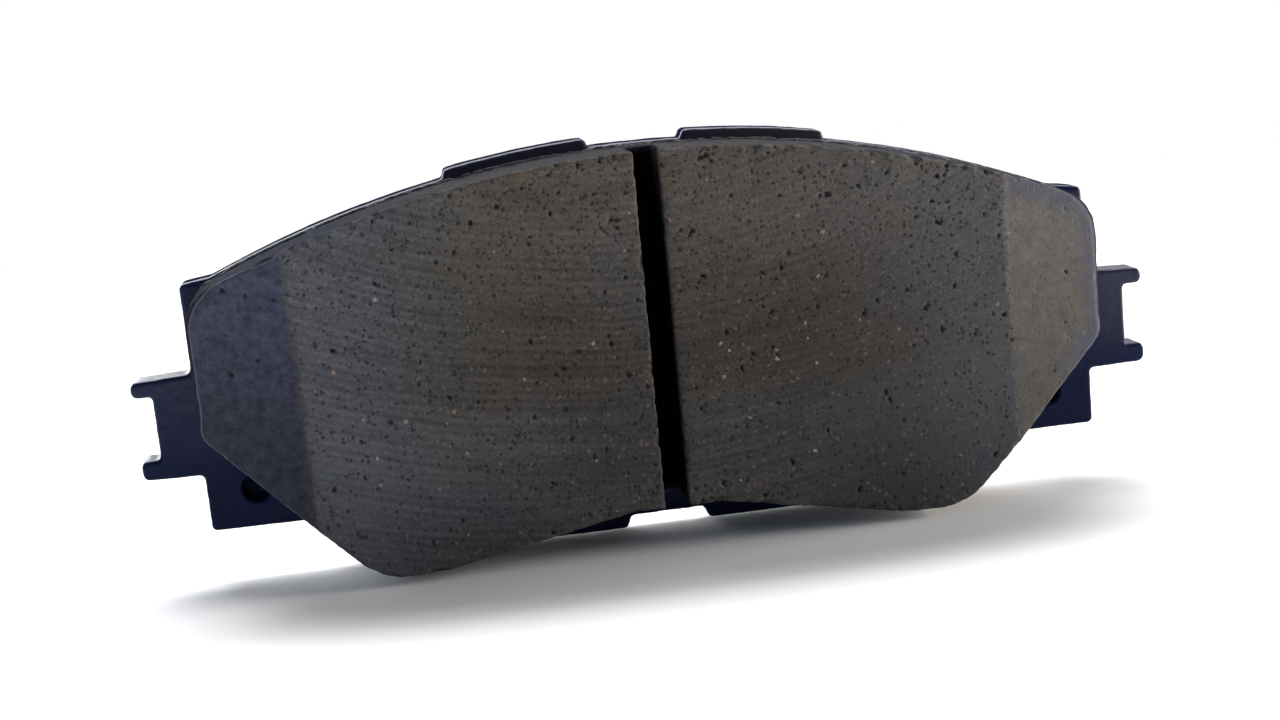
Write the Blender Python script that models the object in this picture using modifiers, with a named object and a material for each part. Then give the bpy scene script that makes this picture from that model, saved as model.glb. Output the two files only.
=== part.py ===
"""Front disc brake pad: steel backing plate with two notched ears, bond film,
moulded underlayer with three plugs keyed into the plate, and a friction block
divided by one slot.

Frame: metres, +Z up. X runs along the pad, Z across it with the domed edge up,
and the friction face looks towards -Y. The origin is the middle of the footprint:
the pad stands upright on its two lobes on Z = 0, centred in X and Y.

The pieces are drawn from a datum of their own, the centre of the middle plug hole
on the plate's back face. Every dimension below is taken from it, and the root
empty carries it. "Back" is +Y, "front" is -Y, "left" is -X and "right" is +X.
"""

import math

import bmesh
import bpy
from mathutils import Matrix, Vector

MM = 0.001   # dimensions are in millimetres, meshes in metres
SIDES = (("left", -1.0), ("right", 1.0))   # name, sign of X

# Layers, stacked from the plate's back face towards -Y
PLATE_T = 5.2
FILM_T = 0.3
UNDER_T = 2.0
TOTAL_T = 17.3           # back face to wearing face
GAP = 0.3                # clearance between neighbouring layers, and round the plugs

PLATE_FRONT = -PLATE_T
FILM_BACK = PLATE_FRONT - GAP
FILM_FRONT = FILM_BACK - FILM_T
UNDER_BACK = FILM_FRONT - GAP
UNDER_FRONT = UNDER_BACK - UNDER_T
BLOCK_BACK = UNDER_FRONT - GAP
BLOCK_FRONT = -TOTAL_T

# Domed top edge of the plate
DOME_R = 158.7
DOME_TOP_Z = 30.0        # height at the middle, between the lands
DOME_CENTRE_Z = DOME_TOP_Z - DOME_R
SHOULDER_X = 67.8        # vertical flank above the ear
SHOULDER_Z = 16.2        # short straight at the end of the dome
SHOULDER_FLAT = 4.6      # length of that straight along X
LAND_X0, LAND_X1 = 7.2, 28.2   # ends of the raised land on each half
LAND_H = 1.3
LAND_FLANK = 0.25        # run of the land's end slope along X
LAND_CORNER_R = 0.8
LAND_ARC_INSET = 1.2     # keeps the land's arc clear of its rounded corners

# Ears, tabs and lower edge of the plate
EAR_TOP_Z = 3.1          # root of the ear's upper edge
EAR_TIP_X = 76.7         # prong tips: half the overall length
EAR_TIP_Z = 2.7
NOTCH_X = 73.8           # floor of the notch between the prongs
NOTCH_Z1, NOTCH_Z0 = 0.3, -9.1
PRONG_Z = -12.0          # underside of the lower prong
PRONG_RISE = 0.15        # fall of that underside towards the tab
TAB_X = 67.9             # side of the abutment tab
TAB_Z = -20.8            # its lower edge
TAB_FALL = 0.1           # extra depth of the edge where it meets the lobe
LOBE_Z = -29.2           # lowest point of the plate
LOBE_DIAG = 71.4         # X + |Z| on the 45 degree flank of the lobe
BASE_Z = -28.3           # straight lower edge
STEP_X = 38.3            # where the straight edge meets the lobe
STEP_RUN = 1.0           # run of that step along X
RECESS_X, RECESS_Z = 6.2, -26.4   # locating recess at the middle
RECESS_RUN = 0.5         # run of the recess wall along X

PLATE_EDGE = 0.5         # rounding of the plate's edges
PLATE_EDGE_SEGMENTS = 2
PLATE_EDGE_ANGLE = math.radians(50.0)   # only edges sharper than this are rounded

# Plugs: holes through the plate, filled by cores on the underlayer
PLUG_X = 29.9
PLUG_R_SIDE = 10.0
PLUG_R_MID = 11.0
PLUG_SUNK = 0.8          # plug ends lie this far below the back face
PLUG_SIDES = 56
PLUGS = (                # place, X, hole radius
    ("left", -PLUG_X, PLUG_R_SIDE),
    ("middle", 0.0, PLUG_R_MID),
    ("right", PLUG_X, PLUG_R_SIDE),
)

# Pips on the back face near the ears, each with a blind hole in front of it
PIP_X, PIP_Z = 60.6, -14.9
PIP_R, PIP_H = 1.75, 1.4
PIP_ROOT = 1.0           # depth the pip is sunk into the plate
PIP_RIM = 0.5            # rounding of its end
PIP_RIM_SEGMENTS = 2
PIP_HOLE_R, PIP_HOLE_D = 2.1, 2.6
PIP_SIDES = 24

# Square pockets in the back face of the ears
POCKET_X, POCKET_Z = 68.6, -4.2
POCKET_W, POCKET_D = 3.6, 1.6

# Friction block; the film and the underlayer share its outline, without the slot
BLOCK_DOME_R = DOME_R - 0.3   # lies just below the plate's dome
BLOCK_END_X = 66.9
BLOCK_DIAG = 71.6        # X + |Z| on the 45 degree flank of the lobe
BLOCK_CORNER_R = 7.0
BLOCK_ARC_INSET = 5.5    # from the end of the block to the first point of its dome
BLOCK_RECESS_Z = -22.8
BLOCK_LOBE_Z = -28.0
BLOCK_LOWER_EDGE = [     # X, Z, corner radius, from the recess out to the lobe
    (7.0, BLOCK_RECESS_Z, 9.0),
    (20.5, -25.6, 14.0),
    (25.8, -26.1, 10.0),
    (31.5, BLOCK_LOBE_Z, 8.0),
]
SLOT_W = 3.6
SLOT_MARGIN = 0.5        # outline points closer than this to the slot wall are dropped
CHAMFER_X = 51.2         # where the lead-in chamfer starts
CHAMFER_DROP = 3.3       # its depth at the end of the block

# Cutters
OVERSHOOT = 1.0          # how far a cutter runs past the face it cuts
CHAMFER_CUT_RUN, CHAMFER_CUT_DEPTH, CHAMFER_CUT_HEIGHT = 30.0, 10.0, 90.0

# Mesh detail
ARC_STEP = math.radians(2.0)      # along the dome
FILLET_STEP = math.radians(18.0)  # around small corners
SHARP_ANGLE = math.radians(30.0)  # edges above this stay sharp in shading
WELD_DIST = 1e-6                  # metres

# The datum as seen from the middle of the footprint: half way between the wearing
# face and the pip ends, and as high as the lobes reach below it.
DATUM = (0.0, 0.5 * (TOTAL_T - PIP_H), -LOBE_Z)


# ------------------------------------------------------------------- outlines
def rounded(corners):
    """Closed outline of 2D (X, Z) vectors from (X, Z, radius) corners."""
    outline = []
    for i, (x, z, radius) in enumerate(corners):
        corner = Vector((x, z))
        if radius <= 0.0:
            outline.append(corner)
            continue
        to_last = (Vector(corners[i - 1][:2]) - corner).normalized()
        to_next = (Vector(corners[(i + 1) % len(corners)][:2]) - corner).normalized()
        half_angle = 0.5 * math.acos(max(-1.0, min(1.0, to_last.dot(to_next))))
        reach = radius / math.tan(half_angle)
        centre = corner + (to_last + to_next).normalized() * (radius / math.sin(half_angle))
        start = corner + to_last * reach - centre
        end = corner + to_next * reach - centre
        sweep = math.atan2(start.x * end.y - start.y * end.x, start.dot(end))
        steps = max(2, math.ceil(abs(sweep) / FILLET_STEP))
        first = math.atan2(start.y, start.x)
        for k in range(steps + 1):
            angle = first + sweep * k / steps
            outline.append(centre + Vector((math.cos(angle), math.sin(angle))) * radius)
    return outline


def dome_z(radius, x):
    """Height at x of a circle about the dome's centre."""
    return DOME_CENTRE_Z + math.sqrt(radius**2 - x**2)


def dome(radius, x_from, x_to):
    """Unrounded corners along a circle about the dome's centre, from x_from to x_to."""
    start, end = math.asin(x_from / radius), math.asin(x_to / radius)
    steps = max(1, math.ceil(abs(end - start) / ARC_STEP))
    angles = [start + (end - start) * k / steps for k in range(steps + 1)]
    return [(radius * math.sin(a), DOME_CENTRE_Z + radius * math.cos(a), 0.0) for a in angles]


def mirrored(half):
    """Right half from bottom middle to top middle, followed by its mirror image."""
    return half + [(-x, z, r) for x, z, r in reversed(half) if x > 1e-6]


def plate_outline():
    land_r = DOME_R + LAND_H
    half = [   # X, Z, corner radius, from the recess up to the shoulder
        (RECESS_X - RECESS_RUN, RECESS_Z, 0.6),
        (RECESS_X, BASE_Z, 0.9),
        (STEP_X, BASE_Z, 0.8),
        (STEP_X + STEP_RUN, LOBE_Z, 0.9),
        (LOBE_DIAG + LOBE_Z, LOBE_Z, 3.5),
        (LOBE_DIAG + TAB_Z - TAB_FALL, TAB_Z - TAB_FALL, 0.9),
        (TAB_X, TAB_Z, 0.8),
        (TAB_X, PRONG_Z - PRONG_RISE, 0.7),
        (EAR_TIP_X, PRONG_Z, 1.0),
        (EAR_TIP_X, NOTCH_Z0, 0.9),
        (NOTCH_X, NOTCH_Z0, 0.6),
        (NOTCH_X, NOTCH_Z1, 0.6),
        (EAR_TIP_X, NOTCH_Z1, 0.9),
        (EAR_TIP_X, EAR_TIP_Z, 1.0),
        (SHOULDER_X, EAR_TOP_Z, 0.9),
        (SHOULDER_X, SHOULDER_Z, 0.8),
    ]
    half += dome(DOME_R, SHOULDER_X - SHOULDER_FLAT, LAND_X1 + LAND_FLANK)
    half.append((LAND_X1, dome_z(land_r, LAND_X1), LAND_CORNER_R))
    half += dome(land_r, LAND_X1 - LAND_ARC_INSET, LAND_X0 + LAND_ARC_INSET)
    half.append((LAND_X0, dome_z(land_r, LAND_X0), LAND_CORNER_R))
    half += dome(DOME_R, LAND_X0 - LAND_FLANK, 0.0)
    return rounded(mirrored(half))


def block_half():
    """Corners of the moulding's right half, from the bottom middle to the top middle."""
    ends = [
        (BLOCK_DIAG + BLOCK_LOBE_Z, BLOCK_LOBE_Z, 5.0),
        (BLOCK_END_X, BLOCK_END_X - BLOCK_DIAG, 4.0),
        (BLOCK_END_X, dome_z(BLOCK_DOME_R, BLOCK_END_X), BLOCK_CORNER_R),
    ]
    return BLOCK_LOWER_EDGE + ends + dome(BLOCK_DOME_R, BLOCK_END_X - BLOCK_ARC_INSET, 0.0)


def slotted_half(sign):
    """Outline of one friction block: the half outline closed along the slot wall."""
    wall_x = SLOT_W / 2.0
    bottom = (wall_x, BLOCK_RECESS_Z, 0.0)
    top = (wall_x, dome_z(BLOCK_DOME_R, wall_x), 0.0)
    between = [corner for corner in block_half() if corner[0] > wall_x + SLOT_MARGIN]
    outline = rounded([bottom, *between, top])
    if sign < 0:
        outline = [Vector((-point.x, point.y)) for point in reversed(outline)]
    return outline


# -------------------------------------------------------------- solid helpers
def new_collection(name):
    collection = bpy.data.collections.new(name)
    bpy.context.scene.collection.children.link(collection)
    return collection


def slab(name, outline, y_back, y_front, collection):
    """Flat piece from a closed outline, standing between two depths."""
    data = bpy.data.curves.new(name + "_outline", "CURVE")
    data.dimensions = "2D"
    data.fill_mode = "BOTH"
    data.extrude = 0.5 * (y_back - y_front) * MM
    spline = data.splines.new("POLY")
    spline.points.add(len(outline) - 1)
    for spline_point, point in zip(spline.points, outline):
        spline_point.co = (point.x * MM, point.y * MM, 0.0, 1.0)
    spline.use_cyclic_u = True
    curve = bpy.data.objects.new(name + "_outline", data)
    curve.rotation_euler = (math.radians(90.0), 0.0, 0.0)
    curve.location = (0.0, 0.5 * (y_back + y_front) * MM, 0.0)
    bpy.context.scene.collection.objects.link(curve)
    bpy.context.view_layer.update()
    evaluated = curve.evaluated_get(bpy.context.evaluated_depsgraph_get())
    mesh = bpy.data.meshes.new_from_object(evaluated)
    mesh.name = name

    bm = bmesh.new()
    bm.from_mesh(mesh)
    bmesh.ops.remove_doubles(bm, verts=bm.verts, dist=WELD_DIST)
    # the two caps become single faces, which bevel and cut cleanly
    caps = {face for face in bm.faces if abs(face.normal.z) > 0.99}
    inner = [edge for edge in bm.edges if caps.issuperset(edge.link_faces)]
    bmesh.ops.dissolve_edges(bm, edges=inner, use_verts=False)
    bmesh.ops.recalc_face_normals(bm, faces=bm.faces)
    bm.to_mesh(mesh)
    bm.free()

    ob = bpy.data.objects.new(name, mesh)
    ob.matrix_world = curve.matrix_world.copy()
    bpy.data.objects.remove(curve, do_unlink=True)
    collection.objects.link(ob)
    return ob


def solid(name, bm, place, collection):
    """Object from a bmesh built about its own centre, put at a place."""
    mesh = bpy.data.meshes.new(name)
    bm.to_mesh(mesh)
    bm.free()
    ob = bpy.data.objects.new(name, mesh)
    ob.location = [c * MM for c in place]
    collection.objects.link(ob)
    return ob


def cylinder(name, x, z, radius, y_front, y_back, collection, sides, rim=0.0):
    """Round bar along Y between two depths, with an optional rounded +Y rim."""
    bm = bmesh.new()
    bmesh.ops.create_cone(
        bm, cap_ends=True, segments=sides, radius1=radius * MM, radius2=radius * MM,
        depth=(y_back - y_front) * MM,
    )
    if rim > 0.0:
        top = [edge for edge in bm.edges if all(v.co.z > 0.0 for v in edge.verts)]
        bmesh.ops.bevel(bm, geom=top, offset=rim * MM, segments=PIP_RIM_SEGMENTS,
                        profile=0.5, affect="EDGES")
    bm.transform(Matrix.Rotation(math.radians(-90.0), 4, "X"))
    return solid(name, bm, (x, 0.5 * (y_front + y_back), z), collection)


def box(name, size, place, collection):
    bm = bmesh.new()
    bmesh.ops.create_cube(bm, size=1.0)
    bm.transform(Matrix.Diagonal((*[s * MM for s in size], 1.0)))
    return solid(name, bm, place, collection)


def boolean(ob, cutter, operation):
    """Combine ob with a cutter, which is kept as a hidden helper."""
    cutter.hide_render = True
    cutter.display_type = "WIRE"
    mod = ob.modifiers.new(operation.title() + "_" + cutter.name, "BOOLEAN")
    mod.operation = operation
    mod.solver = "EXACT"
    mod.object = cutter


def round_edges(ob):
    mod = ob.modifiers.new("Edge", "BEVEL")
    mod.width = PLATE_EDGE * MM
    mod.segments = PLATE_EDGE_SEGMENTS
    mod.limit_method = "ANGLE"
    mod.angle_limit = PLATE_EDGE_ANGLE


def material(name, colour, roughness):
    mat = bpy.data.materials.new(name)
    mat.use_nodes = True
    bsdf = mat.node_tree.nodes["Principled BSDF"]
    bsdf.inputs["Base Color"].default_value = (*colour, 1.0)
    bsdf.inputs["Roughness"].default_value = roughness
    return mat


def finish(ob, mat):
    ob.data.materials.clear()
    ob.data.materials.append(mat)
    ob.data.shade_smooth()
    ob.data.set_sharp_from_angle(angle=SHARP_ANGLE)


# --------------------------------------------------------------------- pieces
def backing_plate(parts, cutters):
    """Steel plate with its plug holes, pips and ear pockets."""
    plate = slab("backing_plate", plate_outline(), 0.0, PLATE_FRONT, parts)
    round_edges(plate)
    for place, x, radius in PLUGS:
        hole = cylinder("plug_hole_" + place, x, 0.0, radius,
                        PLATE_FRONT - OVERSHOOT, OVERSHOOT, cutters, PLUG_SIDES)
        boolean(plate, hole, "DIFFERENCE")
    for side, sign in SIDES:
        hole = cylinder("pip_hole_" + side, sign * PIP_X, PIP_Z, PIP_HOLE_R,
                        PLATE_FRONT - OVERSHOOT, PLATE_FRONT + PIP_HOLE_D,
                        cutters, PIP_SIDES)
        boolean(plate, hole, "DIFFERENCE")
        pip = cylinder("pip_" + side, sign * PIP_X, PIP_Z, PIP_R,
                       -PIP_ROOT, PIP_H, cutters, PIP_SIDES, rim=PIP_RIM)
        boolean(plate, pip, "UNION")
        # centred on the back face, so half of the box cuts
        pocket = box("ear_pocket_" + side, (POCKET_W, 2.0 * POCKET_D, POCKET_W),
                     (sign * POCKET_X, 0.0, POCKET_Z), cutters)
        boolean(plate, pocket, "DIFFERENCE")
    finish(plate, material("powder_coat", colour=(0.024, 0.024, 0.032), roughness=0.38))


def bond_film(outline, parts, cutters):
    """Thin film in front of the plate, open at the plugs."""
    film = slab("bond_film", outline, FILM_BACK, FILM_FRONT, parts)
    for place, x, radius in PLUGS:
        hole = cylinder("film_hole_" + place, x, 0.0, radius,
                        FILM_FRONT - OVERSHOOT, FILM_BACK + OVERSHOOT,
                        cutters, PLUG_SIDES)
        boolean(film, hole, "DIFFERENCE")
    finish(film, material("bond_resin", colour=(0.20, 0.19, 0.17), roughness=0.7))


def underlayer(outline, parts, cutters):
    """Layer in front of the film, with plugs reaching back into the plate."""
    layer = slab("underlayer", outline, UNDER_BACK, UNDER_FRONT, parts)
    for place, x, radius in PLUGS:
        core = cylinder("plug_core_" + place, x, 0.0, radius - GAP,
                        UNDER_BACK - 0.5 * UNDER_T, -PLUG_SUNK, cutters, PLUG_SIDES)
        boolean(layer, core, "UNION")
    finish(layer, material("underlayer_compound", colour=(0.052, 0.050, 0.052),
                           roughness=0.85))


def friction_blocks(parts, cutters):
    """Two blocks either side of the slot, each chamfered at its outer end."""
    lining = material("friction_compound", colour=(0.105, 0.098, 0.088), roughness=0.9)
    slope = math.atan2(CHAMFER_DROP, BLOCK_END_X - CHAMFER_X)
    # the box's back inner edge lies on the start line, and its back face on the chamfer
    half_run, half_depth = 0.5 * CHAMFER_CUT_RUN, 0.5 * CHAMFER_CUT_DEPTH
    x = CHAMFER_X + half_run * math.cos(slope) + half_depth * math.sin(slope)
    y = BLOCK_FRONT + half_run * math.sin(slope) - half_depth * math.cos(slope)
    size = (CHAMFER_CUT_RUN, CHAMFER_CUT_DEPTH, CHAMFER_CUT_HEIGHT)
    for side, sign in SIDES:
        block = slab("friction_block_" + side, slotted_half(sign),
                     BLOCK_BACK, BLOCK_FRONT, parts)
        chamfer = box("chamfer_" + side, size, (sign * x, y, 0.0), cutters)
        chamfer.rotation_euler.z = sign * slope
        boolean(block, chamfer, "DIFFERENCE")
        finish(block, lining)


def build():
    for ob in list(bpy.data.objects):
        bpy.data.objects.remove(ob, do_unlink=True)
    parts = new_collection("brake_pad")
    cutters = new_collection("brake_pad_cutters")

    moulding = rounded(mirrored(block_half()))
    backing_plate(parts, cutters)
    bond_film(moulding, parts, cutters)
    underlayer(moulding, parts, cutters)
    friction_blocks(parts, cutters)

    root = bpy.data.objects.new("brake_pad_root", None)
    root.location = [c * MM for c in DATUM]
    for ob in [*parts.objects, *cutters.objects]:
        ob.parent = root
    parts.objects.link(root)
    bpy.context.view_layer.update()


build()
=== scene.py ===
# A brake pad: a powder-coated backing plate with three plug holes, a thin bond film, an
# underlayer that also fills the holes, and a ground friction block in two halves.
# Lengths are millimetres from the pad's datum (middle plug hole, on the plate's back face),
# with X along the pad, Z up and -Y towards the wearing face, which is the front. They are
# turned into the frame's metres when a mesh is made.
import math

import bmesh
import bpy
import numpy as np
from mathutils import Matrix, Vector


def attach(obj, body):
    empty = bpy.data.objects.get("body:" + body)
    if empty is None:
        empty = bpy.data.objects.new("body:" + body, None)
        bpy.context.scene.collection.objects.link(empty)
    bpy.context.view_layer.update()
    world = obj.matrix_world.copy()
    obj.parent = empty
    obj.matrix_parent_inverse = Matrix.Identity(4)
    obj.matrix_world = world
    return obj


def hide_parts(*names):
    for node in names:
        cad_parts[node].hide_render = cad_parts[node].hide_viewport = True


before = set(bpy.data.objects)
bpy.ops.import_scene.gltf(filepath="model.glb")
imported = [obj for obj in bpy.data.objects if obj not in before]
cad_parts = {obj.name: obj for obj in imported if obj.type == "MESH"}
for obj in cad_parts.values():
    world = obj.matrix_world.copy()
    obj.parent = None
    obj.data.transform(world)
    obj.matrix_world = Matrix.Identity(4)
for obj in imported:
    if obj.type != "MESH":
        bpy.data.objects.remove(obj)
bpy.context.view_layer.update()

MM = 0.001
DATUM = np.array((0.0, 7.95, 29.2))
SCENE = bpy.context.scene
FINE = 1.0      # factor on every grid step

# ---------------------------------------------------------------- dimensions
# layers through the thickness
PLATE_T = 5.2
FILM_FRONT = -5.72
UNDER_FRONT = -8.1
FACE_Y = -17.3
# top edge: an arc centred below the pad, with two raised lands
DOME_R, DOME_TOP_Z = 158.7, 30.0
DOME_Z = DOME_TOP_Z - DOME_R
LAND_X0, LAND_X1, LAND_H = 7.2, 28.2, 1.3
# plate outline
SHOULDER_X, SHOULDER_Z, SHOULDER_FLAT = 67.8, 16.2, 4.6
EAR_TOP_Z, EAR_TIP_X, EAR_TIP_Z = 3.1, 76.7, 2.7
NOTCH_X, NOTCH_Z1, NOTCH_Z0 = 73.8, 0.3, -9.1
PRONG_Z, TAB_X, TAB_Z = -12.0, 67.9, -20.8
LOBE_Z, DIAG, BASE_Z, STEP_X = -29.2, 71.4, -28.3, 38.3    # DIAG: x - z on the slanted corner
RECESS_X, RECESS_Z = 6.2, -26.4
# plug holes
PLUG_X, PLUG_R_SIDE, PLUG_R_MID, PLUG_SUNK = 29.9, 10.0, 11.0, 0.8
PLUGS = ((-PLUG_X, PLUG_R_SIDE), (0.0, PLUG_R_MID), (PLUG_X, PLUG_R_SIDE))   # x, radius
# pips on the back, each with a blind hole behind it in the front
PIP_X, PIP_Z, PIP_R, PIP_H = 60.6, -14.9, 1.75, 1.4
PIP_HOLE_R, PIP_HOLE_D = 2.1, 2.6
# square pockets in the back of the ears
POCKET_X, POCKET_Z, POCKET_W, POCKET_D = 68.6, -4.2, 3.6, 1.6
# friction block
BLOCK_INSET, BLOCK_END_X, BLOCK_DIAG, BLOCK_CORNER_R = 0.3, 66.9, 71.6, 7.0
BLOCK_LOBE_Z, BLOCK_MID_Z = -28.0, -26.0
BLOCK_RECESS_X, BLOCK_RECESS_Z = 7.0, -22.8
SLOT_W = 3.6
CHAMFER_X, CHAMFER_DROP = 51.2, 3.3
CHAMFER_SLOPE = CHAMFER_DROP / (BLOCK_END_X - CHAMFER_X)
GRIND_X, GRIND_Z = -3.5, 115.5     # centre of the arcs left by the grinding wheel
GRIND_PITCH = 1.2


# ------------------------------------------------------------------- outlines
def rounded(points):
    """Closed loop through (x, z, corner radius) points."""
    out = []
    for i, (x, z, radius) in enumerate(points):
        corner = Vector((x, z))
        if radius <= 0.0:
            out.append(corner)
            continue
        back = (Vector(points[i - 1][:2]) - corner).normalized()
        ahead = (Vector(points[(i + 1) % len(points)][:2]) - corner).normalized()
        half = 0.5 * math.acos(max(-1.0, min(1.0, back.dot(ahead))))
        reach = radius / math.tan(half)
        centre = corner + (back + ahead).normalized() * (radius / math.sin(half))
        start, end = corner + back * reach - centre, corner + ahead * reach - centre
        sweep = math.atan2(start.x * end.y - start.y * end.x, start.dot(end))
        steps = max(3, math.ceil(abs(sweep) / math.radians(9.0)))
        first = math.atan2(start.y, start.x)
        for k in range(steps + 1):
            angle = first + sweep * k / steps
            out.append(centre + Vector((math.cos(angle), math.sin(angle))) * radius)
    return out


def dome(radius, x_from, x_to):
    """Points along the top arc, about one degree apart."""
    start, end = math.asin(x_from / radius), math.asin(x_to / radius)
    steps = max(1, math.ceil(abs(end - start) / math.radians(1.0)))
    angles = [start + (end - start) * k / steps for k in range(steps + 1)]
    return [(radius * math.sin(a), DOME_Z + radius * math.cos(a), 0.0) for a in angles]


def land_corner(x):
    return (*dome(DOME_R + LAND_H, x, x)[0][:2], 0.8)


def mirrored(half):
    return half + [(-x, z, radius) for x, z, radius in reversed(half) if x > 1e-6]


def plate_outline():
    half = [   # x, z, corner radius, from the bottom middle round to the shoulder
        (RECESS_X - 0.5, RECESS_Z, 0.6),
        (RECESS_X, BASE_Z, 0.9),
        (STEP_X, BASE_Z, 0.8),
        (STEP_X + 1.0, LOBE_Z, 0.9),
        (DIAG + LOBE_Z, LOBE_Z, 3.5),
        (DIAG + TAB_Z - 0.1, TAB_Z - 0.1, 0.9),
        (TAB_X, TAB_Z, 0.8),
        (TAB_X, PRONG_Z - 0.15, 0.7),
        (EAR_TIP_X, PRONG_Z, 1.0),
        (EAR_TIP_X, NOTCH_Z0, 0.9),
        (NOTCH_X, NOTCH_Z0, 0.6),
        (NOTCH_X, NOTCH_Z1, 0.6),
        (EAR_TIP_X, NOTCH_Z1, 0.9),
        (EAR_TIP_X, EAR_TIP_Z, 1.0),
        (SHOULDER_X, EAR_TOP_Z, 0.9),
        (SHOULDER_X, SHOULDER_Z, 0.8),
    ]
    half += dome(DOME_R, SHOULDER_X - SHOULDER_FLAT, LAND_X1 + 0.25)
    half.append(land_corner(LAND_X1))
    half += dome(DOME_R + LAND_H, LAND_X1 - 1.2, LAND_X0 + 1.2)
    half.append(land_corner(LAND_X0))
    half += dome(DOME_R, LAND_X0 - 0.25, 0.0)
    return rounded(mirrored(half))


def block_outline():
    end_z = DOME_Z + math.sqrt((DOME_R - BLOCK_INSET) ** 2 - BLOCK_END_X**2)
    half = [   # x, z, corner radius
        (BLOCK_RECESS_X, BLOCK_RECESS_Z, 9.0),
        (18.5, BLOCK_MID_Z + 1.0, 16.0),
        (34.5, BLOCK_LOBE_Z, 22.0),
        (BLOCK_DIAG + BLOCK_LOBE_Z, BLOCK_LOBE_Z, 9.5),
        (BLOCK_END_X, BLOCK_END_X - BLOCK_DIAG, 4.0),
        (BLOCK_END_X, end_z, BLOCK_CORNER_R),
    ]
    return rounded(mirrored(half + dome(DOME_R - BLOCK_INSET, BLOCK_END_X - 5.5, 0.0)))


# --------------------------------------------------------------------- fields
# A solid is a field on a grid of (x, y, z) axes, negative inside.
LATTICE = np.random.default_rng(20).uniform(-1.0, 1.0, (64, 64, 64)).astype(np.float32)


def noise(scale, seed, x, y, z):
    """Smooth value noise, mostly in -1..1, with features of about `scale` mm."""
    cells, blends = [], []
    for place, shift in zip((x, y, z), np.random.default_rng(seed).uniform(0.0, 64.0, 3)):
        along = np.asarray(place, np.float32) / np.float32(scale) + np.float32(shift + 64.0)
        cell = np.floor(along)
        part = (along - cell).astype(np.float32)
        cells.append(cell.astype(np.int32))
        blends.append(part * part * part * (part * (part * 6.0 - 15.0) + 10.0))
    total = 0.0
    for corner in np.ndindex(2, 2, 2):
        share = [blend if k else 1.0 - blend for k, blend in zip(corner, blends)]
        index = tuple((cell + k) % 64 for k, cell in zip(corner, cells))
        total = total + share[0] * share[1] * share[2] * LATTICE[index]
    return total * 1.6


def flat_noise(scale, seed, x, z):
    """Noise that doesn't change through the thickness."""
    return noise(scale, seed, x, 0.0 * z, z)


def plan(axes):
    return np.meshgrid(axes[0], axes[2], indexing="ij")


def outline_sdf(loop, axes):
    """Signed distance to a closed outline on the x, z grid, negative inside."""
    points = np.array([(p.x, p.y) for p in loop])
    x, z = plan(axes)
    best = np.full(x.shape, 1e9)
    inside = np.zeros(x.shape, bool)
    for (x0, z0), (x1, z1) in zip(points, np.roll(points, -1, axis=0)):
        run, rise = x1 - x0, z1 - z0
        length2 = run * run + rise * rise
        if length2 < 1e-12:
            continue
        part = np.clip(((x - x0) * run + (z - z0) * rise) / length2, 0.0, 1.0)
        best = np.minimum(best, (x - x0 - part * run) ** 2 + (z - z0 - part * rise) ** 2)
        if abs(rise) > 1e-12:
            inside ^= ((z0 > z) != (z1 > z)) & (x < (z - z0) * run / rise + x0)
    distance = np.sqrt(best)
    return np.where(inside, -distance, distance).astype(np.float32)


def plug_sdf(x, z, inset=0.0):
    """Distance outside the nearest plug hole, its radius reduced by `inset`."""
    return np.minimum.reduce([np.sqrt((x - px) ** 2 + z**2) - (radius - inset)
                              for px, radius in PLUGS])


def below_dome(x, z):
    return DOME_Z + np.sqrt(DOME_R**2 - x * x) - z


def both(one, two, edge):
    """Intersection of two fields with its edge rounded to radius `edge`."""
    one, two = one + edge, two + edge
    return (np.minimum(np.maximum(one, two), 0.0)
            + np.sqrt(np.maximum(one, 0.0) ** 2 + np.maximum(two, 0.0) ** 2) - edge)


def either(one, two, blend):
    """Union of two fields, blended over `blend`."""
    share = np.clip(0.5 + 0.5 * (two - one) / blend, 0.0, 1.0)
    return two + (one - two) * share - blend * share * (1.0 - share)


def smooth(value, low, high):
    """Smoothstep: 0 below low, 1 above high."""
    part = np.clip((value - low) / (high - low), 0.0, 1.0)
    return part * part * (3.0 - 2.0 * part)


def bell(offset, width):
    return np.exp(-((np.maximum(offset, 0.0) / width) ** 2))


def ticks(*runs):
    """Grid line positions from (start, end, step) runs."""
    out = []
    for start, end, step in runs:
        count = max(1, round((end - start) / (step * FINE)))
        out += [start + (end - start) * k / count for k in range(count)]
    out.append(runs[-1][1])
    return np.array(out)


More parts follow.
